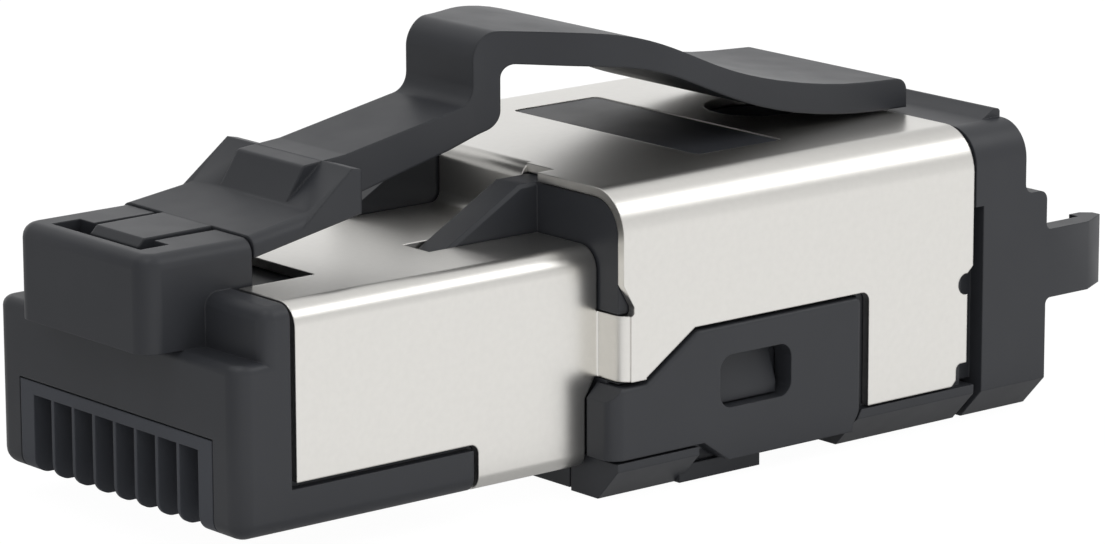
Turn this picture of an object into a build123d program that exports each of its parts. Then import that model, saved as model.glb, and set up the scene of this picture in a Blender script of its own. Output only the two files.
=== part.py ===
"""Shielded field-attachable ethernet plug, in millimetres.

The origin is the middle of the plug's underside, where its rails rest.
The nose points to -Y, the cable leaves to +Y and +Z is up.
Distances along the plug are taken from the nose face with at() or from the front wall with back().
"""
import os

from build123d import *

# Mating nose, after the standard eight-way plug
contact_count = 8
contact_pitch = 1.016
nose_width = 11.68
nose_height = 6.5
nose_length = 12.93
nose_corner = 0.55
nose_rise = 0.87
ledge_height = 5.0
ledge_depth = 0.95
collar_length = 1.85
skirt_length = 8.3
skirt_height = 1.26

# Nose block with the recess that holds the cross head of the lever
block_width = 6.3
block_overhang = 1.10
block_length = 3.68
block_height = 2.78
block_corner = 0.62
block_edge = 0.42
slot_front = -0.50
slot_rear = 0.48
recess_width = 4.3
channel_width = 2.94
recess_floor = 0.28

# Folded sheet of the shield
sheet = 0.27
sheet_gap = 0.04
reveal = 0.18
seam = 0.3
nose_fold = 0.7
nose_lower_fold = 0.5
notch_length = 2.63
notch_gap = 0.13
strip_width = 3.85
riser_setback = 0.37
riser_inner_bend = 0.35
riser_outer_bend = 0.45
riser_relief = 0.58
sleeve_lead = 0.05
band_lead = 0.03
band_low = 3.55
band_high = 5.49
band_bend = 0.5
band_inner_bend = 0.06
relief_depth = 0.35
relief_height = 0.26
relief_slope = 0.95
rear_notch = 0.33
gusset_slot = 1.25
gusset_width = 1.1
gusset_length = 3.78
gusset_bevel = 0.1
gusset_lead = 0.3

# Housing behind the nose
housing_width = 14.08
housing_height = 9.13
body_length = 13.62
housing_corner = 1.3
body_low = 1.02
wall_thickness = 0.87
cavity_height = 8.15
panel_low = 1.30
rail_inner = 4.95
rail_height = 1.22
rail_chamfer_x = 0.89
rail_chamfer_z = 0.95
rail_lead = 0.29
front_rail = 3.03
strip_low = 0.52
strip_inset = 0.65
bridge_start = 5.92
bridge_length = 3.0
window_start = 5.13
window_length = 3.38
window_width = 8.62
window_corner = 0.22
window_gap = 0.07
window_sink = 0.02
well_radius = 1.55
well_setback = 2.40
well_depth = 0.4

# Arms of the bottom cover, and their windows
arm_thickness = 0.74
arm_gap = 0.08
arm_lead = 0.48
arm_step = 3.40
arm_top = 4.68
arm_slope_start = 0.85
arm_slope_end = 2.78
arm_length = 9.25
arm_low = 0.60
arm_corner = 0.45
arm_cut = 0.4
arm_edge = 0.14
arm_reveal = 0.13
cover_low = 0.08
cover_thickness = 0.9
eye_start = 3.64
eye_length = 2.79
eye_low = 2.17
eye_height = 1.59
tooth_depth = 0.40
tooth_inset = 0.25

# Contact insert and blades
carrier_width = 9.3
carrier_height = 2.74
carrier_length = 10.9
carrier_gap = 0.05
slot_width = 0.88
slot_height = 2.36
slot_depth = 5.9
blade_thickness = 0.35
blade_setback = 2.4
blade_rise = 0.5
blade_nose = 0.6
tail_height = 0.32
tail_overlap = 1.0
tail_play = 0.03

# Circuit board and wire termination
board_rise = 2.33
board_width = 9.0
board_thickness = 0.8
board_gap = 0.4
board_margin = 0.7
board_play = 0.1
terminal_pitch = 2.2
terminal_columns = 4
terminal_width = 1.2
terminal_thickness = 0.35
terminal_height = 2.9
terminal_play = 0.04
fork_width = 0.3
fork_depth = 1.1
row_pitch = 3.2
idc_width = 8.8
idc_height = 1.4
manager_start = 1.67
manager_height = 2.4
wire_radius = 0.5

# Cable entry, braid clamp and rear cap
cable_radius = 3.25
cable_height = 4.55
clamp_sheet = 0.2
clamp_gap = 0.57
clamp_length = 2.0
clamp_room = 0.73
spigot_length = 1.35
spigot_play = 0.1
cap_gap = 0.30
cap_depth = 2.10
cap_foot = 0.92
cap_height = 9.07
cap_corner = 1.1
cap_step = 6.85
step_round = 0.3
collar_inset = 0.54
collar_top = 6.73
collar_gap = 0.33
tab_inset = 1.19
tab_length = 0.75
tab_slope = 0.5
tab_height = 0.27
hook_low = 3.45
hook_high = 5.60
hook_thickness = 0.69
hook_length = 2.81
hook_taper = 0.99
hook_round = 0.2
barb_depth = 0.4

# Lever: root plate with catch wings, arm, neck and thumb pad
lever_gap = 0.08
lever_root = 0.08
plate_thickness = 0.58
plate_end = 4.89
plate_rise = 0.33
plate_edge = 0.35
wing_taper = 0.2
wing_top = 6.28
wing_rear = 6.62
wing_rise = 1.48
arm_half = 1.57
arm_foot = 4.93
arm_crest = 5.62
arm_rise = 1.42
arm_under = 0.13
neck_lead = 1.13
neck_rise = 1.86
neck_half = 1.75
neck_rear = 0.26
pad_half = 3.42
pad_overhang = 0.78
pad_crest = 3.96
pad_tip = 0.92
pad_round = 0.4
tongue_width = 2.3
tongue_start = 0.14
tongue_bevel = 0.22
tongue_depth = 0.9
head_radius = 0.36
head_width = 4.0
head_place = 0.015
head_drop = 1.05

# Stations and heights that follow from the values above
overall_length = (block_overhang + nose_length + body_length
                  + cap_gap + cap_depth + cap_foot + hook_length)
y_face = block_overhang - overall_length / 2
y_wall = y_face + nose_length
y_body_rear = y_wall + body_length
y_sheet_rear = y_body_rear + 0.2
y_cap = y_body_rear + cap_gap
y_tier = y_cap + cap_depth
y_foot = y_tier + cap_foot
y_block_rear = y_face - block_overhang + block_length
z_nose_top = nose_rise + nose_height
z_ledge = nose_rise + ledge_height
z_block_top = z_ledge + block_height
z_board = nose_rise + board_rise
z_board_top = z_board + board_thickness
z_idc_top = z_board_top + idc_height
half_nose = nose_width / 2
half_housing = housing_width / 2
middle = sheet / 2
lining = sheet + sheet_gap
half_core = half_nose - lining
half_body = half_housing - lining
collar_width = 2 * (half_housing - collar_inset)
z_core_low = nose_rise + lining
z_core_top = z_nose_top - lining
z_body_top = housing_height - lining
y_band = y_wall - band_lead + sheet / 2
y_bridge = y_wall + bridge_start
y_clamp = y_body_rear - spigot_length - clamp_gap - clamp_length
y_board = y_face + carrier_length + board_gap
y_board_rear = y_clamp - clamp_room
y_manager = y_wall + manager_start
manager_length = y_board_rear - board_margin - y_manager
terminal_rows = [y_manager + (manager_length + side * row_pitch) / 2 for side in (-1, 1)]
y_well = y_body_rear - well_setback
pad_length = body_length + pad_overhang
z_pad = housing_height + lever_gap
contact_x = [(i - (contact_count - 1) / 2) * contact_pitch for i in range(contact_count)]
terminal_x = [(i - (terminal_columns - 1) / 2) * terminal_pitch for i in range(terminal_columns)]

os.makedirs("parts", exist_ok=True)


def at(distance):
    """Station at a distance behind the nose face."""
    return y_face + distance


def back(distance):
    """Station at a distance behind the front wall of the housing."""
    return y_wall + distance


def across(y):
    """Upright plane across the plug; a negative extrusion runs towards the cable."""
    return Plane.XZ.offset(-y)


def save(part, name):
    part.label = name
    export_step(part, f"parts/{name}.step")


def arm_outline(plane, gap=0):
    """Side outline of a cover arm, grown by a gap for the recess that takes it."""
    with BuildSketch(plane) as outline:
        with BuildLine():
            Polyline(
                (back(-arm_lead), rail_height + 0.05),
                (back(front_rail), rail_height + 0.05),
                (back(front_rail + 0.96), arm_low),
                (back(arm_length - 0.45), arm_low),
                (back(arm_length), rail_height + 0.1),
                (back(arm_length), arm_top),
                (back(arm_slope_end), arm_top),
                (back(arm_slope_start), arm_step),
                (back(-arm_lead), arm_step),
                close=True,
            )
        make_face()
        fillet(vertices().group_by(Axis.Y)[-1], 0.2)
        if gap:
            offset(amount=gap, kind=Kind.INTERSECTION)
    return outline.sketch


# Block on the nose: round front corners and soft upper edges
with BuildPart() as nose_block:
    with BuildSketch(Plane.XY.offset(z_ledge)):
        with Locations((0, y_block_rear - block_length / 2)):
            Rectangle(block_width, block_length)
        fillet(vertices().group_by(Axis.Y)[0], block_corner)
    extrude(amount=block_height)
    rim = faces().sort_by(Axis.Z)[-1].edges()
    fillet(rim.filter_by(lambda edge: edge.center().Y < y_block_rear - 0.05), block_edge)

# Shoulder behind the ledge, level with the shield, with round front and upper edges
with BuildPart() as shoulder:
    with BuildSketch(Plane.XY.offset(z_ledge - 0.6)):
        with Locations((0, at((ledge_depth + collar_length) / 2))):
            Rectangle(nose_width, collar_length - ledge_depth)
        fillet(vertices().group_by(Axis.Y)[0], 0.42)
    extrude(amount=z_nose_top - z_ledge + 0.6)
    rim = faces().sort_by(Axis.Z)[-1].edges()
    fillet(rim.filter_by(lambda edge: edge.center().Y < at(collar_length) - 0.05), 0.4)

# Face block below the ledge
with BuildPart() as face_block:
    with BuildSketch(Plane.XY.offset(nose_rise)):
        with Locations((0, at(collar_length / 2))):
            Rectangle(nose_width, collar_length)
        fillet(vertices().group_by(Axis.Y)[0], nose_corner)
    extrude(amount=ledge_height)
    rim = faces().sort_by(Axis.Z)[0].edges()
    fillet(rim.filter_by(lambda edge: edge.center().Y < at(collar_length) - 0.05), nose_lower_fold)
    rim = faces().sort_by(Axis.Z)[-1].edges()
    fillet(rim.filter_by(lambda edge: edge.center().Y < at(collar_length) - 0.05), 0.28)

# Gusset between the core and the front wall, bevelled along its outer edge
with BuildPart() as gusset:
    with BuildSketch(Plane.YZ.offset((strip_width + gusset_slot - gusset_width) / 2)):
        with BuildLine():
            Polyline(
                (back(-gusset_length), z_core_top),
                (back(-0.63), z_body_top),
                (back(0.6), z_body_top),
                (back(0.6), z_core_top - 0.3),
                (back(-gusset_length), z_core_top - 0.3),
                close=True,
            )
        make_face()
    extrude(amount=gusset_width)
    outer_edges = faces().sort_by(Axis.X)[-1].edges()
    chamfer(outer_edges.filter_by(lambda edge: edge.center().Z > z_core_top + 0.1
                                  and edge.center().Y < back(0.5)), gusset_bevel)

# The black moulding: nose, core, body, rails, gussets and snap teeth in one piece
with BuildPart() as plug_housing:
    add(face_block.part)
    add(shoulder.part)
    add(nose_block.part)
    # Core of the nose, which the folded sheet lies around
    with BuildSketch(across(at(collar_length - 0.2))):
        with Locations((0, (z_core_low + z_core_top) / 2)):
            Rectangle(2 * half_core, z_core_top - z_core_low)
        fillet(vertices().group_by(Axis.Y)[-1], nose_fold - sheet)
        fillet(vertices().group_by(Axis.Y)[0], nose_lower_fold - sheet)
    extrude(amount=-(nose_length - collar_length + 0.4))
    # Skirt rails below the shield's side panels
    with BuildSketch(across(at(collar_length - 0.2))):
        with Locations((0, nose_rise + skirt_height / 2)):
            Rectangle(nose_width, skirt_height)
        fillet(vertices().group_by(Axis.Y)[0], nose_lower_fold)
    extrude(amount=-(skirt_length - collar_length + 0.2))
    # Body of the housing
    with BuildSketch(across(y_wall)):
        with Locations((0, (body_low + z_body_top) / 2)):
            Rectangle(2 * half_body, z_body_top - body_low)
        fillet(vertices().group_by(Axis.Y)[-1], housing_corner - sheet)
    extrude(amount=-body_length)
    # Recess in the front wall and its corners for the side bands
    with BuildSketch(Plane.XY.offset(band_low - sheet_gap)):
        with BuildLine():
            Polyline(
                (half_core, y_wall),
                (half_core, y_band + middle + sheet_gap),
                (half_body - 0.3, y_band + middle + sheet_gap),
                (half_body, y_band + middle + sheet_gap + 0.3),
                (half_housing, y_band + middle + sheet_gap + 0.3),
                (half_housing, y_wall),
                close=True,
            )
        make_face()
        mirror(about=Plane.YZ)
    extrude(amount=band_high - band_low + 2 * sheet_gap, mode=Mode.SUBTRACT)
    # Bottom rails, open between them for the cover's bridge
    for start, end in ((-rail_lead, front_rail - 0.2), (arm_length - 0.2, body_length + cap_gap)):
        with BuildSketch(across(back(start))):
            with BuildLine():
                Polyline(
                    (rail_inner, 0),
                    (half_housing - rail_chamfer_x, 0),
                    (half_housing, rail_chamfer_z),
                    (half_housing, rail_height),
                    (rail_inner, rail_height),
                    close=True,
                )
            make_face()
            mirror(about=Plane.YZ)
        extrude(amount=-(end - start))
    # Ribs that carry on from the front rails to the bridge, stepped under the cover's arms
    rib_side = half_housing - arm_thickness - arm_gap
    with BuildSketch(across(back(front_rail - 0.4))):
        with BuildLine():
            Polyline(
                (rail_inner, 0),
                (half_housing - strip_inset, 0),
                (half_housing - strip_inset, strip_low),
                (rib_side, strip_low),
                (rib_side, rail_height),
                (rail_inner, rail_height),
                close=True,
            )
        make_face()
        mirror(about=Plane.YZ)
    extrude(amount=-(bridge_start - front_rail + 0.25))
    # Cavity for the board and the wires, open below and at the rear
    with BuildSketch(across(back(wall_thickness))):
        with Locations((0, cavity_height / 2)):
            Rectangle(2 * rail_inner, cavity_height)
    extrude(amount=-body_length, mode=Mode.SUBTRACT)
    # Ledges that carry the circuit board by its edges
    for side in (-1, 1):
        with BuildSketch(across(back(wall_thickness - 0.1))):
            with Locations((side * (rail_inner - 0.3), z_board - 0.2)):
                Rectangle(0.8, 0.36)
        extrude(amount=-(y_board_rear - back(wall_thickness - 0.1)))
    # Way through the front wall and the core for the board
    with BuildSketch(across(at(carrier_length))):
        with Locations((0, (z_board_top + board_play) / 2)):
            Rectangle(board_width + 2 * board_play, z_board_top + board_play)
    extrude(amount=-(nose_length - carrier_length + wall_thickness + 0.1), mode=Mode.SUBTRACT)
    # Pocket for the contact insert, open to the front and below
    with BuildSketch(across(at(0))):
        with Locations((0, (nose_rise + carrier_height + carrier_gap) / 2)):
            Rectangle(carrier_width + 2 * carrier_gap, nose_rise + carrier_height + carrier_gap)
    extrude(amount=-(carrier_length + carrier_gap), mode=Mode.SUBTRACT)
    # Recess for the lever: a wide slot for its cross head and a channel for its tongue
    with BuildSketch(Plane.XY.offset(z_ledge + recess_floor)):
        with Locations((0, at((slot_front + slot_rear) / 2))):
            Rectangle(recess_width, slot_rear - slot_front)
        with Locations((0, (at(slot_rear) + y_block_rear) / 2)):
            Rectangle(channel_width, y_block_rear - at(slot_rear) + 0.4)
    extrude(amount=block_height, mode=Mode.SUBTRACT)
    add(gusset.part)
    add(gusset.part.mirror(Plane.YZ))
    # Space behind the sheet's riser, between the gussets
    with BuildSketch(Plane.XY.offset(z_core_top)):
        with Locations((0, y_wall + (riser_setback + lining + sheet_gap) / 2)):
            Rectangle(strip_width + gusset_slot - gusset_width, riser_setback + lining + sheet_gap)
    extrude(amount=z_body_top - z_core_top, mode=Mode.SUBTRACT)
    # Recesses that let the cover's arms lie level with the shield
    for side in (-1, 1):
        recess_side = side * (half_housing - arm_thickness - arm_gap)
        extrude(arm_outline(Plane.YZ.offset(recess_side), arm_gap), amount=side * 2, mode=Mode.SUBTRACT)
    # Snap teeth in the arms' eyes: a ramp above and a flat catch below
    with BuildSketch(across(back(eye_start + tooth_inset))):
        tooth_root = half_housing - arm_thickness - arm_gap
        with BuildLine():
            Polyline(
                (tooth_root - 0.2, eye_low + 0.05),
                (tooth_root + tooth_depth, eye_low + 0.05),
                (tooth_root + tooth_depth, eye_low + 0.4),
                (tooth_root, eye_low + eye_height - 0.05),
                (tooth_root - 0.2, eye_low + eye_height - 0.05),
                close=True,
            )
        make_face()
        mirror(about=Plane.YZ)
    extrude(amount=-(eye_length - 2 * tooth_inset))
    # Boss that shows in the roof window, and the round well under the lever's pad
    with BuildSketch(Plane.XY.offset(z_body_top - 0.1)):
        with Locations((0, back(window_start + window_length / 2))):
            RectangleRounded(window_width - 2 * window_gap, window_length - 2 * window_gap, window_corner)
    extrude(amount=housing_height - window_sink - z_body_top + 0.1)
    with Locations((0, y_well, z_body_top)):
        Hole(well_radius - 0.1, depth=well_depth)
save(plug_housing.part, "plug_housing")

# Contact insert: a comb at the front and a plain block behind, stepped over the sheet's lower fold
with BuildPart() as contact_carrier:
    with BuildSketch(Plane.YZ):
        with BuildLine():
            Polyline(
                (at(0), nose_rise),
                (at(skirt_length), nose_rise),
                (at(skirt_length), z_core_low),
                (at(carrier_length), z_core_low),
                (at(carrier_length), nose_rise + carrier_height),
                (at(0), nose_rise + carrier_height),
                close=True,
            )
        make_face()
        fillet(vertices().sort_by_distance((at(0), nose_rise))[0], nose_lower_fold)
    extrude(amount=carrier_width / 2, both=True)
    # Slots between the teeth of the comb, open to the front and below
    with BuildSketch(Plane.XY.offset(nose_rise)):
        with Locations([(x, at(slot_depth / 2)) for x in contact_x]):
            Rectangle(slot_width, slot_depth)
    extrude(amount=slot_height, mode=Mode.SUBTRACT)
    # Channels for the blades' tails
    with BuildSketch(across(at(slot_depth - 0.5))):
        with Locations([(x, z_board - tail_height / 2) for x in contact_x]):
            Rectangle(blade_thickness + 2 * tail_play, tail_height + 2 * tail_play)
    extrude(amount=-carrier_length, mode=Mode.SUBTRACT)
save(contact_carrier.part, "contact_carrier")

# Contact blades: round-nosed, with a tail that runs back under the circuit board
for index, x in enumerate(contact_x):
    with BuildPart() as blade:
        with BuildSketch(Plane.YZ.offset(x)):
            with BuildLine():
                Polyline(
                    (at(blade_setback), nose_rise + blade_rise),
                    (at(slot_depth - 0.1), nose_rise + blade_rise),
                    (at(slot_depth - 0.1), z_board - tail_height),
                    (y_board + tail_overlap, z_board - tail_height),
                    (y_board + tail_overlap, z_board),
                    (at(blade_setback), z_board),
                    close=True,
                )
            make_face()
            fillet(vertices().sort_by_distance((at(blade_setback), nose_rise + blade_rise))[0], blade_nose)
        extrude(amount=blade_thickness / 2, both=True)
    save(blade.part, f"contact_blade_{index + 1}")

# Circuit board under which the blades end and on which the terminals stand
with BuildPart() as circuit_board:
    with BuildSketch(Plane.XY.offset(z_board)):
        with Locations((0, (y_board + y_board_rear) / 2)):
            Rectangle(board_width, y_board_rear - y_board)
    extrude(amount=board_thickness)
save(circuit_board.part, "circuit_board")

# Insulation displacement terminals: forked blades in two rows
terminal_places = [(x, row) for row in terminal_rows for x in terminal_x]
for index, (x, row) in enumerate(terminal_places):
    with BuildPart() as terminal:
        with BuildSketch(across(row - terminal_thickness / 2)):
            with Locations((x, z_board_top + terminal_height / 2)):
                Rectangle(terminal_width, terminal_height)
            chamfer(vertices().group_by(Axis.Y)[-1], 0.25)
            with Locations((x, z_board_top + terminal_height)):
                Rectangle(fork_width, 2 * fork_depth, mode=Mode.SUBTRACT)
        extrude(amount=-terminal_thickness)
    save(terminal.part, f"idc_terminal_{index + 1}")

# Block that holds the terminals upright on the board
with BuildPart() as idc_block:
    with BuildSketch(Plane.XY.offset(z_board_top)):
        with Locations((0, y_manager + manager_length / 2)):
            RectangleRounded(idc_width, manager_length, 0.3)
        with Locations(terminal_places):
            Rectangle(terminal_width + 2 * terminal_play, terminal_thickness + 2 * terminal_play,
                      mode=Mode.SUBTRACT)
    extrude(amount=idc_height)
save(idc_block.part, "idc_block")

# Wire manager: its round channels take the wires, and pockets below let the terminals in
with BuildPart() as wire_manager:
    with BuildSketch(across(y_manager)):
        with Locations((0, z_idc_top + manager_height / 2)):
            RectangleRounded(idc_width, manager_height, 0.3)
        with Locations([(x, z_board_top + terminal_height - wire_radius) for x in terminal_x]):
            Circle(wire_radius, mode=Mode.SUBTRACT)
    extrude(amount=-manager_length)
    with BuildSketch(Plane.XY.offset(z_idc_top)):
        with Locations(terminal_places):
            Rectangle(terminal_width + 2 * terminal_play, terminal_thickness + 2 * terminal_play)
    extrude(amount=terminal_height - idc_height + 0.1, mode=Mode.SUBTRACT)
save(wire_manager.part, "wire_manager")

# Braid clamp: an open spring ring around the cable
with BuildPart() as braid_clamp:
    with BuildSketch(across(y_clamp)):
        with BuildLine():
            CenterArc((0, cable_height), cable_radius + clamp_sheet, -60, 300)
        trace(line_width=clamp_sheet)
    extrude(amount=-clamp_length)
save(braid_clamp.part, "braid_clamp")

# Shield: one folded sheet, with the sleeve of the nose, the riser, the side bands and the roof
with BuildPart() as shield_shell:
    with BuildSketch(across(at(collar_length + reveal))):
        with BuildLine():
            FilletPolyline(
                (-seam / 2, nose_rise + middle),
                (-half_nose + middle, nose_rise + middle),
                (-half_nose + middle, z_nose_top - middle),
                (half_nose - middle, z_nose_top - middle),
                (half_nose - middle, nose_rise + middle),
                (seam / 2, nose_rise + middle),
                radius=(nose_lower_fold - middle, nose_fold - middle, nose_fold - middle,
                        nose_lower_fold - middle),
            )
        trace(line_width=sheet)
    extrude(amount=-(nose_length - collar_length - reveal - 0.07))
    # Side panels end above the skirt rails, slant to the wall and are cut away where the bands leave
    with BuildSketch(Plane.YZ):
        with Locations((at(skirt_length / 2 + reveal), (nose_rise + skirt_height + reveal) / 2)):
            Rectangle(skirt_length, nose_rise + skirt_height + reveal)
        fillet(vertices().group_by(Axis.Y)[-1], 0.3)
        with BuildLine():
            Polyline(
                (back(-arm_lead - 0.03), 0),
                (back(-arm_lead - 0.03), arm_step - 0.45),
                (back(-0.03), arm_step + 0.37),
                (back(-0.03), 0),
                close=True,
            )
        make_face()
        with Locations((back(0), (band_low + band_high) / 2)):
            Rectangle(0.24, band_high - band_low)
    extrude(amount=half_nose, both=True, mode=Mode.SUBTRACT)
    # Opening at the front of the top for the lever's root, and slots for the gussets
    with BuildSketch(Plane.XY.offset(z_core_top - 0.5)):
        with Locations((0, at(collar_length + notch_length / 2))):
            Rectangle(block_width + 2 * notch_gap, notch_length + 0.36)
        slot_length = gusset_length + gusset_lead
        with Locations([(side * (strip_width + gusset_slot) / 2, back(-slot_length / 2)) for side in (-1, 1)]):
            Rectangle(gusset_slot, slot_length)
    extrude(amount=1, mode=Mode.SUBTRACT)
    # Sleeve round the housing
    with BuildSketch(across(back(-sleeve_lead))):
        with BuildLine():
            FilletPolyline(
                (-half_housing + middle, panel_low),
                (-half_housing + middle, housing_height - middle),
                (half_housing - middle, housing_height - middle),
                (half_housing - middle, panel_low),
                radius=housing_corner - middle,
            )
        trace(line_width=sheet)
    extrude(amount=-(y_sheet_rear - y_wall + sleeve_lead))
    # Side panels of the housing: cut for the arms, set back at the rear with a round notch
    with BuildSketch(Plane.YZ):
        with BuildLine():
            Polyline(
                (back(-sleeve_lead), 0),
                (back(-sleeve_lead), band_low),
                (back(arm_slope_start - arm_reveal), band_low),
                (back(arm_slope_end - arm_reveal), arm_top + arm_reveal),
                (back(arm_length + 0.30), arm_top + arm_reveal),
                (back(arm_length + 0.30), 0),
                close=True,
            )
        make_face()
        fillet(vertices().sort_by_distance((back(arm_length + 0.30), arm_top + arm_reveal))[0], 0.3)
        with BuildLine():
            Polyline(
                (y_sheet_rear - 0.82, 0),
                (y_sheet_rear - 0.82, panel_low),
                (y_sheet_rear - 0.65, panel_low + 0.17),
                (y_sheet_rear - 0.65, panel_low + 0.67),
                (y_sheet_rear - 0.22, panel_low + 0.67),
                (y_sheet_rear - 0.22, 4.75),
                (y_sheet_rear, 4.95),
                (y_sheet_rear, 0),
                close=True,
            )
        make_face()
        fillet(vertices().sort_by_distance((y_sheet_rear - 0.65, panel_low + 0.67))[0], 0.2)
        with Locations((y_sheet_rear - 0.27, 4.42)):
            Circle(rear_notch)
        # Relief above the band's bend, slanted upwards to the front
        with BuildLine():
            Polyline(
                (back(-sleeve_lead), band_high),
                (back(relief_depth), band_high),
                (back(relief_depth), band_high + relief_height),
                (back(-sleeve_lead), band_high + relief_slope),
                close=True,
            )
        make_face()
        relief_corners = [(back(relief_depth), band_high), (back(relief_depth), band_high + relief_height)]
        fillet([vertices().sort_by_distance(corner)[0] for corner in relief_corners], 0.12)
        with Locations((back(-sleeve_lead + 0.14), (band_low + band_high) / 2)):
            Rectangle(0.28, band_high - band_low)
    extrude(amount=half_housing, both=True, mode=Mode.SUBTRACT)
    # Roof: room for the riser's bend with its reliefs, the window and the round hole
    with BuildSketch(Plane.XY.offset(z_body_top - 0.1)):
        with Locations((0, back((riser_relief - sleeve_lead) / 2))):
            Rectangle(strip_width + 2 * gusset_slot, riser_relief + sleeve_lead)
        with Locations((0, back(riser_setback + riser_outer_bend / 2))):
            Rectangle(strip_width, riser_outer_bend + 0.02)
        with Locations((0, back(window_start + window_length / 2))):
            RectangleRounded(window_width, window_length, window_corner)
        with Locations((0, y_well)):
            Circle(well_radius)
    extrude(amount=1, mode=Mode.SUBTRACT)
    # Riser over the step, a strip bent up and back
    with BuildSketch(Plane.YZ):
        with BuildLine():
            FilletPolyline(
                (back(-0.4), z_nose_top - middle),
                (back(riser_setback + middle), z_nose_top - middle),
                (back(riser_setback + middle), housing_height - middle),
                (back(1.2), housing_height - middle),
                radius=(riser_inner_bend + middle, riser_outer_bend - middle),
            )
        trace(line_width=sheet)
    extrude(amount=strip_width / 2, both=True)
    # Bands that join the nose sleeve to the housing sleeve on each side
    inner_bend = middle + band_inner_bend
    outer_bend = min(band_bend - middle, half_housing - half_nose - inner_bend - 0.01)
    for side in (-1, 1):
        with BuildSketch(Plane.XY.offset(band_low)):
            with BuildLine():
                FilletPolyline(
                    (side * (half_nose - middle), y_band - 0.75),
                    (side * (half_nose - middle), y_band),
                    (side * (half_housing - middle), y_band),
                    (side * (half_housing - middle), y_band + 0.7),
                    radius=(inner_bend, outer_bend),
                )
            trace(line_width=sheet)
        extrude(amount=band_high - band_low)
save(shield_shell.part, "shield_shell")

# Arm of the bottom cover, with a return in front of the housing's wall and a round corner
with BuildPart() as cover_arm:
    extrude(arm_outline(Plane.YZ.offset(half_housing - arm_thickness)), amount=arm_thickness)
    with BuildSketch(Plane.XY.offset(rail_height + 0.05)):
        with Locations(((half_nose + 0.04 + half_housing) / 2, back(-arm_lead + 0.21))):
            Rectangle(half_housing - half_nose - 0.04, 0.42)
    extrude(amount=arm_step - rail_height - 0.05)
    upright = edges().filter_by(Axis.Z)
    front_corner = upright.sort_by_distance((half_housing, back(-arm_lead), arm_step / 2))[0]
    fillet(front_corner, min(arm_corner, (half_housing - half_nose) / 2))
    # The front upper corner is cut off at a slant
    with BuildSketch(Plane.YZ):
        with BuildLine():
            Polyline(
                (back(-arm_lead) - 0.1, arm_step - arm_cut - 0.1),
                (back(-arm_lead) + arm_cut + 0.1, arm_step + 0.1),
                (back(-arm_lead) - 0.1, arm_step + 0.1),
                close=True,
            )
        make_face()
    extrude(amount=half_housing, mode=Mode.SUBTRACT)
    side_edges = faces().sort_by(Axis.X)[-1].edges()
    fillet(side_edges.filter_by(lambda edge: edge.center().Z > arm_step - 0.1), arm_edge)

# Bottom cover: a panel between the rails, a bridge and two arms that snap over the teeth
with BuildPart() as bottom_cover:
    with BuildSketch(Plane.XY.offset(cover_low)):
        with Locations((0, back((body_length - rail_lead) / 2 - 0.02))):
            Rectangle(2 * (rail_inner - 0.07), body_length + rail_lead - 0.04)
    extrude(amount=cover_thickness)
    with BuildSketch(Plane.XY.offset(arm_low)):
        with Locations((0, y_bridge + bridge_length / 2)):
            Rectangle(housing_width, bridge_length)
    extrude(amount=cover_low + cover_thickness - arm_low)
    add(cover_arm.part)
    add(cover_arm.part.mirror(Plane.YZ))
    # Eyes for the snap teeth
    with BuildSketch(Plane.YZ):
        with Locations((back(eye_start + eye_length / 2), eye_low + eye_height / 2)):
            RectangleRounded(eye_length, eye_height, 0.45)
    extrude(amount=half_housing + 1, both=True, mode=Mode.SUBTRACT)
save(bottom_cover.part, "bottom_cover")

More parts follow.
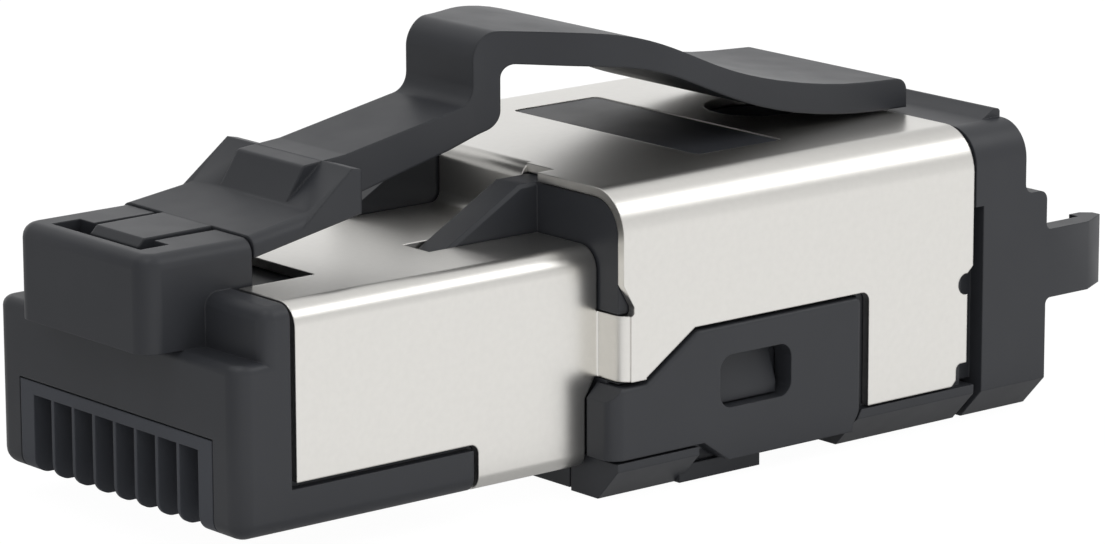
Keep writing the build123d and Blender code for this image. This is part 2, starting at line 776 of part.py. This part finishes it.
# Rear cap: two tiers with the cable bore, a spigot in the cavity and two hooks
with BuildPart() as rear_cap:
    with BuildSketch(across(y_cap)) as cap_section:
        with Locations((0, cap_height / 2)):
            Rectangle(housing_width, cap_height)
        fillet(vertices().group_by(Axis.Y)[-1], cap_corner)
        with BuildLine():
            Polyline(
                (half_housing - rail_chamfer_x, 0),
                (half_housing, rail_chamfer_z),
                (half_housing, 0),
                close=True,
            )
        make_face(mode=Mode.SUBTRACT)
        mirror(about=Plane.YZ, mode=Mode.INTERSECT)
    extrude(amount=-(cap_depth + cap_foot))
    # Upper tier ends before the lower one
    with BuildSketch(across(y_tier)):
        with Locations((0, cap_step + cap_height / 2)):
            Rectangle(housing_width, cap_height)
    extrude(amount=-cap_foot, mode=Mode.SUBTRACT)
    for y in (y_tier, y_foot):
        fillet(edges().filter_by(Axis.X).sort_by_distance((0, y, cap_step))[0], step_round)
    # Below the upper tier the front edge is set back, and only the collar reaches the housing
    with BuildSketch(across(y_cap)):
        with Locations((0, collar_top / 2)):
            Rectangle(housing_width, collar_top)
        with Locations((0, (panel_low + collar_top) / 2)):
            Rectangle(collar_width, collar_top - panel_low, mode=Mode.SUBTRACT)
    extrude(amount=-collar_gap, mode=Mode.SUBTRACT)
    with BuildSketch(across(y_body_rear + 0.05)):
        with Locations((0, (panel_low + collar_top) / 2)):
            Rectangle(collar_width, collar_top - panel_low)
    extrude(amount=-(cap_gap + collar_gap))
    # Spigot that fits the housing's cavity
    spigot_low = cover_low + cover_thickness + spigot_play
    spigot_high = cavity_height - spigot_play
    with BuildSketch(across(y_body_rear - spigot_length)):
        with Locations((0, (spigot_low + spigot_high) / 2)):
            RectangleRounded(2 * (rail_inner - spigot_play), spigot_high - spigot_low, 0.4)
    extrude(amount=-(spigot_length + cap_gap + 0.1))
    # Raised tab that slopes up to the rear edge of the top
    with BuildSketch(Plane.YZ):
        with BuildLine():
            Polyline(
                (y_tier - tab_length, cap_height - 0.2),
                (y_tier - tab_length, cap_height),
                (y_tier - tab_length + tab_slope, cap_height + tab_height),
                (y_tier, cap_height + tab_height),
                (y_tier, cap_height - 0.2),
                close=True,
            )
        make_face()
        fillet(vertices().sort_by_distance((y_tier, cap_height + tab_height))[0], 0.12)
    extrude(amount=half_housing - tab_inset, both=True)
    # Hooks that point to the rear, tapered outside and barbed inside
    with BuildSketch(Plane.XY.offset(hook_low)):
        with BuildLine():
            Polyline(
                (half_housing - hook_thickness, y_foot - 0.5),
                (half_housing, y_foot - 0.5),
                (half_housing, y_foot + hook_length - hook_taper),
                (half_housing - 0.5, y_foot + hook_length),
                (half_housing - hook_thickness - 0.13, y_foot + hook_length),
                (half_housing - hook_thickness - barb_depth, y_foot + hook_length - 0.3),
                (half_housing - hook_thickness - barb_depth, y_foot + hook_length - 0.75),
                (half_housing - hook_thickness, y_foot + hook_length - 0.75),
                close=True,
            )
        make_face()
        mirror(about=Plane.YZ)
    extrude(amount=hook_high - hook_low)
    for z in (hook_low, hook_high):
        roots = edges().filter_by(Axis.X).filter_by_position(Axis.Z, z - 0.01, z + 0.01)
        fillet(roots.filter_by_position(Axis.Y, y_foot - 0.01, y_foot + 0.01), hook_round)
    # Cable bore
    with BuildSketch(across(y_body_rear - spigot_length - 0.1)):
        with Locations((0, cable_height)):
            Circle(cable_radius)
    extrude(amount=-(y_foot - y_body_rear + spigot_length + 0.2), mode=Mode.SUBTRACT)
save(rear_cap.part, "rear_cap")

# Root plate of the lever with the catch wings, narrower towards them and round along its edges
y_root = y_block_rear + lever_root
z_root = z_block_top + 0.05
wing_half = block_width / 2 - wing_taper
with BuildPart() as lever_root_plate:
    with BuildSketch(Plane.YZ):
        with BuildLine():
            Polyline(
                (y_root, z_root - plate_thickness),
                (y_root, z_root),
                (at(plate_end), z_root + plate_rise),
                (at(wing_top), z_root + wing_rise - 0.05),
                (at(wing_rear), z_root + wing_rise - 0.12),
                (at(wing_rear), z_root + arm_under - 0.05),
                close=True,
            )
        make_face()
    extrude(amount=block_width / 2, both=True)
    with BuildSketch(Plane.XY.offset(z_root - plate_thickness)):
        with BuildLine():
            Polyline(
                (-block_width / 2, y_root),
                (block_width / 2, y_root),
                (wing_half, at(wing_rear)),
                (-wing_half, at(wing_rear)),
                close=True,
            )
        make_face()
    extrude(amount=plate_thickness + 2 * wing_rise, mode=Mode.INTERSECT)
    plate_edges = edges().filter_by(lambda edge: abs(edge.center().X) > wing_half
                                    and edge.center().Z > z_root + 0.05
                                    and edge.center().Y < at(plate_end))
    fillet(plate_edges, plate_edge)

# Lever: the arm rises from the nose, steps up and flares into the thumb pad
with BuildPart() as latch_lever:
    with BuildSketch(Plane.YZ):
        with BuildLine():
            neck_top = FilletPolyline(
                (at(arm_foot - 0.6), z_root),
                (at(arm_foot), z_root + plate_rise),
                (at(arm_crest), z_block_top + arm_rise),
                (at(arm_crest + 1.5), z_block_top + arm_rise + 0.12),
                (back(-neck_lead), z_pad + neck_rise),
                (back(-neck_lead), z_pad + pad_crest),
                (back(0.77), z_pad + pad_crest - 0.13),
                radius=(0.1, 0.15, 1.0, 0.6, 0.8),
            )
            pad_top = Spline(
                neck_top @ 1,
                (back(0.265 * pad_length), z_pad + 0.859 * pad_crest),
                (back(0.505 * pad_length), z_pad + 0.513 * pad_crest),
                (back(0.776 * pad_length), z_pad + 0.283 * pad_crest),
                (back(pad_length - pad_round), z_pad + pad_tip),
                tangents=(neck_top % 1, (1, -0.04)),
            )
            corner_end = (back(pad_length), z_pad + pad_tip - pad_round)
            pad_corner = TangentArc(pad_top @ 1, corner_end, tangent=(1, 0))
            pad_rear = Line(pad_corner @ 1, (back(pad_length), z_pad))
            pad_under = Spline(
                pad_rear @ 1,
                (back(0.776 * pad_length), z_pad + 0.048 * pad_crest),
                (back(0.514 * pad_length), z_pad + 0.288 * pad_crest),
                (back(0.362 * pad_length), z_pad + 0.520 * pad_crest),
                (back(0.126 * pad_length), z_pad + 0.697 * pad_crest),
                tangents=((-1, 0.002), (-1, 0.09)),
            )
            neck_under = FilletPolyline(
                pad_under @ 1,
                (back(-neck_rear), z_pad + 0.742 * pad_crest),
                (back(-neck_rear), z_pad + 0.283 * pad_crest),
                (back(-neck_lead - 0.89), z_block_top + 1.15),
                (at(wing_rear), z_block_top + arm_under),
                (at(arm_foot - 0.6), z_block_top - 0.25),
                radius=(0.4, 0.6, 1.0, 1.0),
            )
            Line(neck_under @ 1, neck_top @ 0)
        make_face()
    extrude(amount=pad_half, both=True)
    # Plan of the arm and the pad
    with BuildSketch(Plane.XY.offset(z_block_top - 1)):
        with BuildLine():
            front = Line((0, at(arm_foot - 0.6)), (arm_half, at(arm_foot - 0.6)))
            arm_side = Line(front @ 1, (arm_half, back(-neck_lead)))
            flare = Spline(
                arm_side @ 1,
                (neck_half, back(-neck_rear)),
                (0.66 * pad_half, back(0.77)),
                (0.84 * pad_half, back(1.97)),
                (0.95 * pad_half, back(0.265 * pad_length)),
                (pad_half, back(0.63 * pad_length)),
                tangents=((0, 1), (0, 1)),
            )
            side = Line(flare @ 1, (pad_half, back(pad_length)))
            rear = Line(side @ 1, (0, back(pad_length)))
            Line(rear @ 1, front @ 0)
        make_face()
        mirror(about=Plane.YZ)
    extrude(amount=z_pad + pad_crest + 2 - z_block_top, mode=Mode.INTERSECT)
    add(lever_root_plate.part)
    # Tongue in the channel and cross head in the wide slot
    with BuildSketch(Plane.YZ):
        with BuildLine():
            Polyline(
                (at(tongue_start), z_block_top - tongue_depth),
                (at(tongue_start), z_block_top + 0.02 - tongue_bevel),
                (at(tongue_start + tongue_bevel), z_block_top + 0.02),
                (y_root + 0.34, z_root),
                (y_root + 0.54, z_root - 0.45),
                (y_root - 0.16, z_block_top - tongue_depth + 0.1),
                close=True,
            )
        make_face()
    extrude(amount=tongue_width / 2, both=True)
    with BuildSketch(Plane.YZ):
        with Locations((at(head_place), z_block_top - head_drop)):
            Circle(head_radius)
    extrude(amount=head_width / 2, both=True)
save(latch_lever.part, "latch_lever")
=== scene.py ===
"""Looks of the shielded ethernet plug: materials, small surface detail, floor, light and camera."""
import math

import bpy
from mathutils import Matrix, Vector


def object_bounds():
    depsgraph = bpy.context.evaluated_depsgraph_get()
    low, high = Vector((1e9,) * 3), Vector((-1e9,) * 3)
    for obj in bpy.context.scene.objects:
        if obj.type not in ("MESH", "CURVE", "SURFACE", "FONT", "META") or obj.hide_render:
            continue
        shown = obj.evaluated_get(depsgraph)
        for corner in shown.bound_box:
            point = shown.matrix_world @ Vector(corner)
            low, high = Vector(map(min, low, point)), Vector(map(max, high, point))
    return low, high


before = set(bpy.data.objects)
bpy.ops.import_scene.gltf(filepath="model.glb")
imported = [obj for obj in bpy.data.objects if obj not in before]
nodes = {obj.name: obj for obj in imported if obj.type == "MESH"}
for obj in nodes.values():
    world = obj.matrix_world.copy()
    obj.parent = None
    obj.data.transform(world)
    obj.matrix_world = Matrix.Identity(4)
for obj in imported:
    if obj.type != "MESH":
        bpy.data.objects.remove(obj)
cad_low, cad_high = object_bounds()
MM = 0.001

# Camera, solved from the standard sizes of the nose in the photograph
IMAGE_WIDTH = 1105
FOCAL_PIXELS = 5323.7
SENSOR_WIDTH = 36.0
CAMERA_AZIMUTH = math.radians(50.260)
CAMERA_ELEVATION = math.radians(13.211)
CAMERA_ROLL = math.radians(-0.158)
CAMERA_DISTANCE = 159.519 * MM
CAMERA_TARGET = Vector((0.002, 0.282, 5.115)) * MM
CLIP_NEAR = 0.01
CLIP_FAR = 10

# Colours, linear
BLACK_PLASTIC = (0.0352, 0.0374, 0.0432)
NICKEL = (0.80, 0.785, 0.75)
GOLD = (0.85, 0.60, 0.25)
TIN = (0.72, 0.72, 0.72)
GREEN_DARK = (0.008, 0.11, 0.045)
GREEN_LIGHT = (0.012, 0.15, 0.06)
PALE_FLOOR = (0.82, 0.82, 0.82)
WHITE = (1.0, 1.0, 1.0)

# How many times lighter than the black plastic the termination pieces are, and the insert, whose
# lighter colour is painted light in its shaded slots
INSERT_PAINTED_LIGHT = 2.0
TERMINATION_SHADE = 1.5

# Darkest and lightest tone of a surface, as shares of its colour
PLASTIC_TONES = (0.93, 1.07)
SHEET_TONES = (0.98, 1.02)
METAL_TONES = (0.94, 1.03)

# Range of roughness; the sheet's is narrow and over 0.275, or its reflections show contour lines
PLASTIC_ROUGHNESS = (0.39, 0.46)
SHEET_ROUGHNESS = (0.28, 0.30)
GOLD_ROUGHNESS = (0.21, 0.30)
TIN_ROUGHNESS = (0.28, 0.37)
BOARD_ROUGHNESS = 0.35

# Index of refraction; the insert's is low, because it hardly shines
PLASTIC_IOR = 1.42
INSERT_IOR = 1.22

# Radius of the softened edges, and the rays that find them
PLASTIC_EDGE = 0.06 * MM
LEVER_EDGE = 0.10 * MM
SHEET_EDGE = 0.06 * MM
METAL_EDGE = 0.04 * MM
EDGE_RAYS = 6

# Scales along the three axes that draw noise out into lines along the plug
SHEET_LINES = (1.0, 0.04, 1.0)
METAL_LINES = (1.0, 0.08, 1.0)

# Nearly all noise lies in this span
NOISE_SPAN = (0.2, 0.8)

# Sockets of the colour mixer
MIX_SHARE = 0
MIX_LOW = 6
MIX_HIGH = 7
MIX_RESULT = 2

# Vertices nearer than this are one, and faces that meet at less than this angle look curved
WELD_REACH = 0.0002 * MM
SMOOTH_ANGLE = math.radians(32)

# Light of the studio: the horizon to the left and right, half way up and overhead
LEFT_LIGHT = 1.02
RIGHT_LIGHT = 0.81
MIDDLE_LIGHT = 0.60
ZENITH_LIGHT = 0.78

# Where that light changes: upwards from the horizon, up to overhead, and from left to right
LOW_SPAN = (0.2, 0.45)
HIGH_SPAN = (0.55, 0.75)
SIDE_SPAN = (-0.4, 0.4)

# The direction that the studio brightens to, and the share of the light that is left at the front,
# which the floor's glow for glossy faces also takes as painted shade
BRIGHT_WAY = (0.5, 0.85)
FRONT_SHARE = 0.42
FRONT_SPAN = (-0.90, -0.45)

# Floor: half its side, how far it lies under the plug, and its share of glow
FLOOR_HALF = 1.5
FLOOR_DROP = 0.02 * MM
GLOW_SHARE = 0.9

# The floor's glow for the camera and for glossy faces, and the painted shade that darkens it for
# glossy faces close beside the plug
FLOOR_SEEN = 1.08
FLOOR_MIRRORED = 0.97
FLOOR_BESIDE_PAINTED_SHADE = 0.45

# Where the painted shade on the mirrored floor changes: outwards from the plug, and along the bright
# direction
BESIDE_PAINTED_SHADE_SPAN = (0.5 * MM, 3.0 * MM)
FLOOR_FRONT_PAINTED_SHADE_SPAN = (-28 * MM, -10 * MM)

# Lamps: place, width and height, and watts
SOFTBOX = ((0.187, 0.274, 0.289), (0.32, 0.14), 0.22)
TOP_LAMP = ((0.04, -0.10, 0.42), (0.09, 0.09), 0.12)


def make_camera():
    """Long-lens camera at the photograph's viewing angle."""
    a, e, r = CAMERA_AZIMUTH, CAMERA_ELEVATION, CAMERA_ROLL
    back = Vector((math.sin(a) * math.cos(e), -math.cos(a) * math.cos(e), math.sin(e)))
    level_right = Vector((math.cos(a), math.sin(a), 0))
    level_up = back.cross(level_right)
    right = level_right * math.cos(r) + level_up * math.sin(r)
    up = level_up * math.cos(r) - level_right * math.sin(r)
    data = bpy.data.cameras.new("camera")
    data.sensor_fit = "HORIZONTAL"
    data.sensor_width = SENSOR_WIDTH
    data.lens = FOCAL_PIXELS / IMAGE_WIDTH * SENSOR_WIDTH
    data.clip_start = CLIP_NEAR
    data.clip_end = CLIP_FAR
    camera = bpy.data.objects.new("camera", data)
    turn = Matrix((right, up, back)).transposed().to_4x4()
    camera.matrix_world = Matrix.Translation(CAMERA_TARGET + back * CAMERA_DISTANCE) @ turn
    bpy.context.scene.collection.objects.link(camera)
    bpy.context.scene.camera = camera


class Nodes:
    """Short way to build the node tree of a material or of the world."""

    def __init__(self, owner, output="ShaderNodeOutputMaterial"):
        owner.use_nodes = True
        self.owner = owner
        self.tree = owner.node_tree
        self.tree.nodes.clear()
        self.output = self.add(output)

    def add(self, kind, **settings):
        """New node of a kind, with its settings."""
        node = self.tree.nodes.new(kind)
        for key, value in settings.items():
            setattr(node, key, value)
        return node

    def link(self, source, target):
        self.tree.links.new(source, target)

    def noise(self, scale, detail, lines=None):
        """Noise in object space: scale in features per metre, lines as a scale for each axis."""
        place = self.add("ShaderNodeTexCoord").outputs["Object"]
        if lines:
            mapping = self.add("ShaderNodeMapping")
            mapping.inputs["Scale"].default_value = lines
            self.link(place, mapping.inputs["Vector"])
            place = mapping.outputs["Vector"]
        texture = self.add("ShaderNodeTexNoise")
        texture.inputs["Scale"].default_value = scale
        texture.inputs["Detail"].default_value = detail
        self.link(place, texture.inputs["Vector"])
        return texture.outputs["Fac"]

    def ramp(self, value, span, low, high, kind="SMOOTHSTEP"):
        """Value over a span mapped to low to high, and held outside."""
        node = self.add("ShaderNodeMapRange", interpolation_type=kind)
        numbers = {"From Min": span[0], "From Max": span[1], "To Min": low, "To Max": high}
        for name, number in numbers.items():
            node.inputs[name].default_value = number
        self.link(value, node.inputs["Value"])
        return node.outputs["Result"]

    def spread(self, noise, low, high):
        """Noise mapped to low to high."""
        return self.ramp(noise, NOISE_SPAN, low, high, "LINEAR")

    def tint(self, noise, low, high):
        """Colour between low and high, by the noise."""
        node = self.add("ShaderNodeMix", data_type="RGBA")
        node.inputs[MIX_LOW].default_value = (*low, 1)
        node.inputs[MIX_HIGH].default_value = (*high, 1)
        self.link(self.spread(noise, 0.0, 1.0), node.inputs[MIX_SHARE])
        return node.outputs[MIX_RESULT]

    def tones(self, noise, colour, shares):
        """A colour that the noise makes a little darker and lighter."""
        return self.tint(noise, shade(colour, shares[0]), shade(colour, shares[1]))

    def bump(self, height, distance, strength, normal=None):
        """Normal that follows a height, over another normal if there is one."""
        node = self.add("ShaderNodeBump")
        node.inputs["Distance"].default_value = distance
        node.inputs["Strength"].default_value = strength
        self.link(height, node.inputs["Height"])
        if normal:
            self.link(normal, node.inputs["Normal"])
        return node.outputs["Normal"]

    def soft_edges(self, radius):
        """Normal that looks rounded along the edges."""
        node = self.add("ShaderNodeBevel", samples=EDGE_RAYS)
        node.inputs["Radius"].default_value = radius
        return node.outputs["Normal"]

    def math(self, operation, *values):
        """Result of a sum on sockets and numbers."""
        node = self.add("ShaderNodeMath", operation=operation)
        for socket, value in zip(node.inputs, values):
            if isinstance(value, float):
                socket.default_value = value
            else:
                self.link(value, socket)
        return node.outputs[0]

    def mix(self, share, first, second):
        """The first shader's light, with a share of the second's in its place."""
        node = self.add("ShaderNodeMixShader")
        self.link(share, node.inputs["Fac"])
        self.link(first.outputs[0], node.inputs[1])
        self.link(second.outputs[0], node.inputs[2])
        return node.outputs[0]

    def axes(self, kind):
        """The three parts of a texture coordinate: Object is a place, Generated a way in the world."""
        place = self.add("ShaderNodeTexCoord")
        split = self.add("ShaderNodeSeparateXYZ")
        self.link(place.outputs[kind], split.inputs[0])
        return split.outputs

    def bright_way(self, x, y):
        """How far a place or a way lies towards the bright side of the studio."""
        along_x = self.math("MULTIPLY", x, BRIGHT_WAY[0])
        along_y = self.math("MULTIPLY", y, BRIGHT_WAY[1])
        return self.math("ADD", along_x, along_y)

    def mirrored_floor_painted_shade(self):
        """Level of the floor for glossy faces, with painted shade under and beside the plug and at the
        front.
        """
        x, y, _ = self.axes("Object")
        along = self.math("SUBTRACT", self.math("ABSOLUTE", x), float(cad_high[0]))
        across = self.math("SUBTRACT", self.math("ABSOLUTE", y), float(cad_high[1]))
        outwards = self.math("MAXIMUM", along, across)
        # Painted shade: the floor glows dimmer for glossy faces close beside the plug and towards the
        # front
        beside = self.ramp(outwards, BESIDE_PAINTED_SHADE_SPAN, FLOOR_BESIDE_PAINTED_SHADE, 1.0)
        front = self.ramp(self.bright_way(x, y), FLOOR_FRONT_PAINTED_SHADE_SPAN, FRONT_SHARE, 1.0)
        return self.math("MULTIPLY", self.math("MULTIPLY", beside, front), FLOOR_MIRRORED)


def shade(colour, factor):
    return tuple(channel * factor for channel in colour)


def plastic(name, colour, edge=PLASTIC_EDGE, ior=PLASTIC_IOR):
    """Satin moulded plastic: fine mould texture, slight tone changes and soft edges."""
    made = Nodes(bpy.data.materials.new(name))
    shader = made.add("ShaderNodeBsdfPrincipled")
    shader.inputs["IOR"].default_value = ior
    tones = made.tones(made.noise(scale=260, detail=3), colour, PLASTIC_TONES)
    made.link(tones, shader.inputs["Base Color"])
    roughness = made.spread(made.noise(scale=900, detail=4), *PLASTIC_ROUGHNESS)
    made.link(roughness, shader.inputs["Roughness"])
    grain = made.noise(scale=14000, detail=2)
    normal = made.bump(grain, distance=0.002 * MM, strength=0.35, normal=made.soft_edges(edge))
    made.link(normal, shader.inputs["Normal"])
    made.link(shader.outputs[0], made.output.inputs[0])
    return made.owner


def plated_sheet(name, colour):
    """Satin plating: fine grain, faint rolling lines, cloudy roughness and soft sheared edges."""
    made = Nodes(bpy.data.materials.new(name))
    shader = made.add("ShaderNodeBsdfPrincipled")
    shader.inputs["Metallic"].default_value = 1.0
    tones = made.tones(made.noise(scale=5000, detail=2), colour, SHEET_TONES)
    made.link(tones, shader.inputs["Base Color"])
    roughness = made.spread(made.noise(scale=200, detail=2), *SHEET_ROUGHNESS)
    made.link(roughness, shader.inputs["Roughness"])
    lines = made.noise(scale=3000, detail=2, lines=SHEET_LINES)
    edges = made.soft_edges(SHEET_EDGE)
    normal = made.bump(lines, distance=0.0001 * MM, strength=0.1, normal=edges)
    made.link(normal, shader.inputs["Normal"])
    made.link(shader.outputs[0], made.output.inputs[0])
    return made.owner


def plain_metal(name, colour, roughness_range):
    """Small drawn or stamped contact metal with fine draw marks."""
    made = Nodes(bpy.data.materials.new(name))
    shader = made.add("ShaderNodeBsdfPrincipled")
    shader.inputs["Metallic"].default_value = 1.0
    tones = made.tones(made.noise(scale=700, detail=3), colour, METAL_TONES)
    made.link(tones, shader.inputs["Base Color"])
    roughness = made.spread(made.noise(scale=1500, detail=3), *roughness_range)
    made.link(roughness, shader.inputs["Roughness"])
    marks = made.noise(scale=9000, detail=2, lines=METAL_LINES)
    edges = made.soft_edges(METAL_EDGE)
    normal = made.bump(marks, distance=0.001 * MM, strength=0.3, normal=edges)
    made.link(normal, shader.inputs["Normal"])
    made.link(shader.outputs[0], made.output.inputs[0])
    return made.owner


def laminate(name):
    """Circuit board: green solder mask over a woven glass base."""
    made = Nodes(bpy.data.materials.new(name))
    shader = made.add("ShaderNodeBsdfPrincipled")
    shader.inputs["Roughness"].default_value = BOARD_ROUGHNESS
    green = made.tint(made.noise(scale=900, detail=3), GREEN_DARK, GREEN_LIGHT)
    made.link(green, shader.inputs["Base Color"])
    weave = made.noise(scale=6000, detail=2)
    made.link(made.bump(weave, distance=0.003 * MM, strength=0.4), shader.inputs["Normal"])
    made.link(shader.outputs[0], made.output.inputs[0])
    return made.owner


def floor_white(name):
    """Pale matt white that glows for the camera and for glossy faces, each at a level of its own, with
    painted shade in the glow for glossy faces.
    """
    made = Nodes(bpy.data.materials.new(name))
    matt = made.add("ShaderNodeBsdfDiffuse")
    matt.inputs["Color"].default_value = (*PALE_FLOOR, 1)
    glow = made.add("ShaderNodeEmission")
    glow.inputs["Color"].default_value = (*WHITE, 1)
    rays = made.add("ShaderNodeLightPath").outputs
    seen = made.math("MULTIPLY", rays["Is Camera Ray"], FLOOR_SEEN)
    # The glow that glossy faces see holds painted shade beside the plug and at the front
    mirrored = made.math("MULTIPLY", rays["Is Glossy Ray"], made.mirrored_floor_painted_shade())
    made.link(made.math("ADD", seen, mirrored), glow.inputs["Strength"])
    direct = made.math("MAXIMUM", rays["Is Camera Ray"], rays["Is Glossy Ray"])
    share = made.math("MULTIPLY", direct, GLOW_SHARE)
    made.link(made.mix(share, matt, glow), made.output.inputs[0])
    return made.owner


def dress(material, *names):
    """Give a CAD node one material on all its slots."""
    for name in names:
        slots = nodes[name].material_slots
        if not slots:
            nodes[name].data.materials.append(material)
        for slot in slots:
            slot.material = material


def smooth(name):
    """Smooth curved faces and keep real edges sharp."""
    node = nodes[name]
    weld = node.modifiers.new("weld", "WELD")
    weld.merge_threshold = WELD_REACH
    for face in node.data.polygons:
        face.use_smooth = True
    split = node.modifiers.new("edges", "EDGE_SPLIT")
    split.split_angle = SMOOTH_ANGLE
    node.modifiers.new("flats", "WEIGHTED_NORMAL")


def dress_all():
    """Material and smoothing of every CAD node."""
    black = plastic("black_plastic", BLACK_PLASTIC)
    lever = plastic("lever_plastic", BLACK_PLASTIC, edge=LEVER_EDGE)
    nickel = plated_sheet("satin_nickel", NICKEL)
    # The insert's lighter colour is painted light that brightens its shaded slots
    insert = plastic("insert_plastic", shade(BLACK_PLASTIC, INSERT_PAINTED_LIGHT), ior=INSERT_IOR)
    termination = plastic("termination_plastic", shade(BLACK_PLASTIC, TERMINATION_SHADE))
    gold = plain_metal("contact_gold", GOLD, GOLD_ROUGHNESS)
    tin = plain_metal("terminal_tin", TIN, TIN_ROUGHNESS)
    dress(black, "plug_housing", "bottom_cover", "rear_cap")
    dress(lever, "latch_lever")
    dress(nickel, "shield_shell", "braid_clamp")
    dress(insert, "contact_carrier")
    dress(termination, "idc_block", "wire_manager")
    dress(laminate("board_laminate"), "circuit_board")
    dress(gold, *[name for name in nodes if name.startswith("contact_blade_")])
    dress(tin, *[name for name in nodes if name.startswith("idc_terminal_")])
    for name in nodes:
        smooth(name)


def add_light(name, place, size, watts):
    """Large soft lamp, aimed at the plug."""
    data = bpy.data.lights.new(name, "AREA")
    data.shape = "RECTANGLE"
    data.size, data.size_y = size
    data.energy = watts
    lamp = bpy.data.objects.new(name, data)
    lamp.location = place
    lamp.rotation_mode = "QUATERNION"
    lamp.rotation_quaternion = (CAMERA_TARGET - Vector(place)).to_track_quat("-Z", "Y")
    bpy.context.scene.collection.objects.link(lamp)


def make_floor():
    """Floor that looks white and keeps a faint contact shadow."""
    mesh = bpy.data.meshes.new("floor")
    corners = [(x * FLOOR_HALF, y * FLOOR_HALF, 0) for x, y in ((-1, -1), (1, -1), (1, 1), (-1, 1))]
    mesh.from_pydata(corners, [], [(0, 1, 2, 3)])
    mesh.materials.append(floor_white("floor_white"))
    floor = bpy.data.objects.new("floor", mesh)
    floor.location.z = -FLOOR_DROP
    bpy.context.scene.collection.objects.link(floor)


def make_world():
    """White behind the plug, and soft light that changes with height, side and direction."""
    world = bpy.data.worlds.new("studio")
    bpy.context.scene.world = world
    made = Nodes(world, "ShaderNodeOutputWorld")
    x, y, z = made.axes("Generated")
    low = made.ramp(z, LOW_SPAN, 1.0, 0.0)
    extra = made.ramp(x, SIDE_SPAN, LEFT_LIGHT - MIDDLE_LIGHT, RIGHT_LIGHT - MIDDLE_LIGHT)
    high = made.ramp(z, HIGH_SPAN, MIDDLE_LIGHT, ZENITH_LIGHT)
    level = made.math("ADD", made.math("MULTIPLY", low, extra), high)
    front = made.ramp(made.bright_way(x, y), FRONT_SPAN, FRONT_SHARE, 1.0)
    light = made.add("ShaderNodeBackground")
    light.inputs["Color"].default_value = (*WHITE, 1)
    made.link(made.math("MULTIPLY", level, front), light.inputs["Strength"])
    seen = made.add("ShaderNodeBackground")
    seen.inputs["Color"].default_value = (*WHITE, 1)
    camera_ray = made.add("ShaderNodeLightPath").outputs["Is Camera Ray"]
    made.link(made.mix(camera_ray, light, seen), made.output.inputs[0])


def make_studio():
    make_floor()
    make_world()
    add_light("softbox", *SOFTBOX)
    add_light("top", *TOP_LAMP)


dress_all()
make_studio()
make_camera()
bpy.context.scene.view_settings.view_transform = "Standard"
